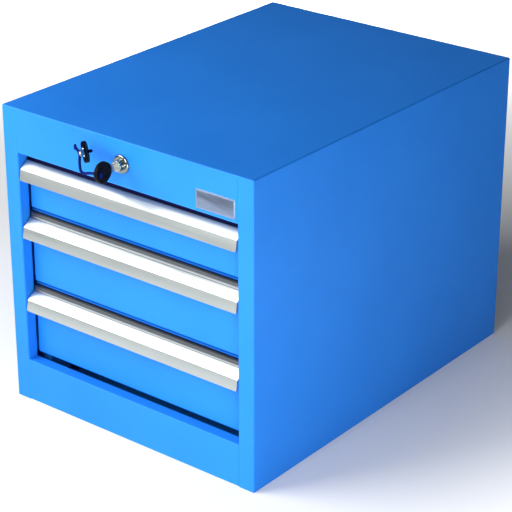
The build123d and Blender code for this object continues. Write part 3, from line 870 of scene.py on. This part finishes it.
@dataclass
class KeyTie:
    """Moulded strap that holds the spare key to the key in the lock, with a bar at each end."""

    span: float = 0.060
    bow_half: float = KeyHead.thickness / 2
    clearance: float = 0.0003
    radius: float = 0.0019
    bar_length: float = 0.0075
    branch_reach: float = 0.008
    knob_radius: float = 0.0026
    rim_round: float = 0.00095
    rim_steps: int = 3
    rim_angle: float = 1.0
    route_order: int = 3
    sides: int = 12
    route_shares: tuple[Triple, ...] = (
        (-0.165, 0.0, 0.0),
        (-0.573, 0.067, -0.163),
        (-0.752, 0.217, 0.037),
        (-0.842, 0.35, 0.182),
        (-1.02, 0.383, 0.265),
    )

    def build(self, pivot: Vector, branch_way: Vector, palette: Palette) -> None:
        """Make the strap in the place of its node.

        Args:
            pivot: Middle of the hole that the strap passes through.
            branch_way: Direction of the branch that holds the spare key.
            palette: Finished materials.
        """
        start = pivot + AXIS_X * (self.bow_half + self.clearance + self.radius)
        route = [start] + [pivot + Vector(share) * self.span for share in self.route_shares]
        branch = route[-2]
        knob = branch + branch_way * (self.branch_reach + self.bow_half + self.clearance + self.knob_radius)
        strap = Workpiece()
        strap.mesh.from_mesh(self.tube("key_tie_route", route))
        for end in (route[0], route[-1]):
            self.rod(strap, end - AXIS_Z * self.bar_length / 2, end + AXIS_Z * self.bar_length / 2)
        self.rod(strap, branch, knob)
        bmesh.ops.create_uvsphere(
            strap.mesh,
            u_segments=self.sides * 2,
            v_segments=self.sides,
            radius=self.knob_radius,
            matrix=Matrix.Translation(knob),
        )
        strap.finish("key_tie_strap", "spare_key", Slot.NAVY_PLASTIC, palette, ["key_tie"])

    def tube(self, name: str, route: Sequence[Vector]) -> bpy.types.Mesh:
        """Round tube along a smooth line near the points of a route.

        Args:
            name: Name of the tube's curve.
            route: Points that the line bends towards.

        Returns:
            The tube's mesh.
        """
        curve = bpy.data.curves.new(name, "CURVE")
        curve.dimensions = "3D"
        curve.bevel_depth = self.radius
        curve.bevel_resolution = self.sides // 4
        curve.use_fill_caps = True
        spline = curve.splines.new("NURBS")
        spline.points.add(len(route) - 1)
        for point, place in zip(spline.points, route):
            point.co = (*place, 1.0)
        spline.use_endpoint_u = True
        spline.order_u = self.route_order
        spline.resolution_u = self.sides
        holder = bpy.data.objects.new(name, curve)
        mesh = bpy.data.meshes.new_from_object(holder)
        bpy.data.objects.remove(holder)
        return mesh

    def rod(self, strap: Workpiece, start: Vector, end: Vector) -> None:
        """Add a round rod with softened ends between two points."""
        way = end - start
        turn = way.to_track_quat("Z", "Y").to_matrix().to_4x4()
        made = bmesh.ops.create_cone(
            strap.mesh,
            cap_ends=True,
            segments=self.sides * 2,
            radius1=self.radius,
            radius2=self.radius,
            depth=way.length,
            matrix=Matrix.Translation((start + end) / 2) @ turn,
        )
        rims = {
            edge
            for vert in made["verts"]
            for edge in vert.link_edges
            if abs(edge.calc_face_angle(0.0)) > self.rim_angle
        }
        strap.bevel(rims, self.rim_round, self.rim_steps)


@dataclass
class Keys:
    """The key in the lock, the spare key, and the tie between them."""

    spare_turn: float = math.radians(40.0)
    spare_lean: float = math.radians(10.6)
    spare_tilt: float = math.radians(20.5)

    def build(self, palette: Palette) -> None:
        """Make both key heads and the tie.

        Args:
            palette: Finished materials.
        """
        KeyHead("key", "lock", AXIS_Y, AXIS_X).build(palette)
        aside = Vector((math.cos(self.spare_turn), math.sin(self.spare_turn), 0.0))
        level = Vector((math.sin(self.spare_turn), -math.cos(self.spare_turn), 0.0))
        spare_normal = aside * math.cos(self.spare_lean) + AXIS_Z * math.sin(self.spare_lean)
        upright = AXIS_Z * math.cos(self.spare_lean) - aside * math.sin(self.spare_lean)
        spare_way = level * math.cos(self.spare_tilt) + upright * math.sin(self.spare_tilt)
        KeyHead("spare_key", "spare_key", spare_way, spare_normal).build(palette)
        low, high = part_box("key_head")
        pivot = (low + high) / 2 - AXIS_Y * KeyHead.hole_reach
        KeyTie().build(pivot, spare_normal, palette)


@dataclass(frozen=True)
class SoftBox:
    """Square area light that faces its aim, the cabinet unless another is given."""

    name: str
    place: Triple
    size: float
    power: float
    aim: Triple = (0.0, 0.0, 0.2)
    spread: float = math.pi

    def build(self) -> None:
        """Hang the light and turn it to its aim."""
        light = bpy.data.lights.new(self.name, "AREA")
        light.shape = "SQUARE"
        light.size = self.size
        light.energy = self.power
        light.spread = self.spread
        lamp = bpy.data.objects.new(self.name, light)
        lamp.location = self.place
        lamp.rotation_euler = (Vector(self.aim) - Vector(self.place)).to_track_quat("-Z", "Y").to_euler()
        bpy.context.scene.collection.objects.link(lamp)


SOFT_BOXES = (
    SoftBox("front_box", place=(0.4, -2.0, 1.15), size=0.7, power=22.0),
    SoftBox("high_left_box", place=(-0.94, -1.2, 1.25), size=1.25, power=38.0),
    SoftBox("right_box", place=(0.95, -1.0, 0.12), size=0.5, power=12.5),
    SoftBox(
        "rear_floor_box",
        place=(-1.2, 1.5, 2.4),
        size=1.2,
        power=18.0,
        aim=(-1.2, 1.501, 0.0),
        spread=math.radians(40.0),
    ),
    SoftBox(
        "right_floor_box",
        place=(1.0, 0.1, 2.4),
        size=0.8,
        power=3.0,
        aim=(1.0, 0.101, 0.0),
        spread=math.radians(20.0),
    ),
)


@dataclass
class Studio:
    """Pale floor, soft light and the camera."""

    floor_half: float = 9.0
    floor_drop: float = 0.0003
    floor_shades: tuple[Colour, Colour] = ((0.86, 0.86, 0.86, 1.0), (0.89, 0.89, 0.89, 1.0))
    floor_cloud: Triple = (0.5, 0.5, 0.5)
    floor_roughness: float = 0.8
    sky: Colour = (0.92, 0.96, 1.0, 1.0)
    sky_strength: float = 0.14
    camera_place: Triple = (1.5759, -1.9977, 1.3502)
    camera_azimuth: float = math.radians(38.535)
    camera_elevation: float = math.radians(24.764)
    camera_lens: float = 133.98
    camera_sensor: float = 36.0

    def build(self) -> None:
        """Set up the floor, the light and the camera."""
        self.floor()
        self.light()
        self.camera()

    def floor(self) -> None:
        """Lay a wide floor just under the cabinet."""
        surface = Surface("pale_floor")
        surface.drive("Base Color", surface.shades(surface.noise(self.floor_cloud), *self.floor_shades))
        surface.constant("Roughness", self.floor_roughness)
        grid = bmesh.new()
        bmesh.ops.create_grid(
            grid,
            x_segments=1,
            y_segments=1,
            size=self.floor_half,
            matrix=Matrix.Translation((0.0, 0.0, -self.floor_drop)),
        )
        data = bpy.data.meshes.new("studio_floor")
        grid.to_mesh(data)
        grid.free()
        data.materials.append(surface.material)
        floor = bpy.data.objects.new("studio_floor", data)
        bpy.context.scene.collection.objects.link(floor)

    def light(self) -> None:
        """Hang the soft boxes and light the room."""
        world = bpy.data.worlds.new("studio_room")
        world.use_nodes = True
        room = world.node_tree.nodes["Background"]
        room.inputs["Color"].default_value = self.sky
        room.inputs["Strength"].default_value = self.sky_strength
        bpy.context.scene.world = world
        for box in SOFT_BOXES:
            box.build()
        bpy.context.scene.view_settings.view_transform = "Standard"

    def camera(self) -> None:
        """Place the camera at the photograph's angle."""
        lens = bpy.data.cameras.new("photograph_camera")
        lens.sensor_width = self.camera_sensor
        lens.lens = self.camera_lens
        camera = bpy.data.objects.new("photograph_camera", lens)
        camera.location = self.camera_place
        camera.rotation_euler = (math.pi / 2 - self.camera_elevation, 0.0, self.camera_azimuth)
        bpy.context.scene.collection.objects.link(camera)
        bpy.context.scene.camera = camera


def main() -> None:
    """Dress the frame, build the finer pieces and set up the studio."""
    logging.basicConfig(level=logging.INFO)
    palette = Palette()
    palette.dress_nodes()
    FrontFrame().build(palette)
    # The top handle's hollow is painted fully dark, as the top rail's shadow.
    HandleRail("drawer_1", shade_stops=TOP_HOLLOW_PAINTED_SHADE).build(palette)
    HandleRail("drawer_2").build(palette)
    HandleRail("drawer_3").build(palette)
    NamePlate().build(palette)
    LockHousing().build(palette)
    Keys().build(palette)
    Studio().build()


if __name__ == "__main__":
    main()
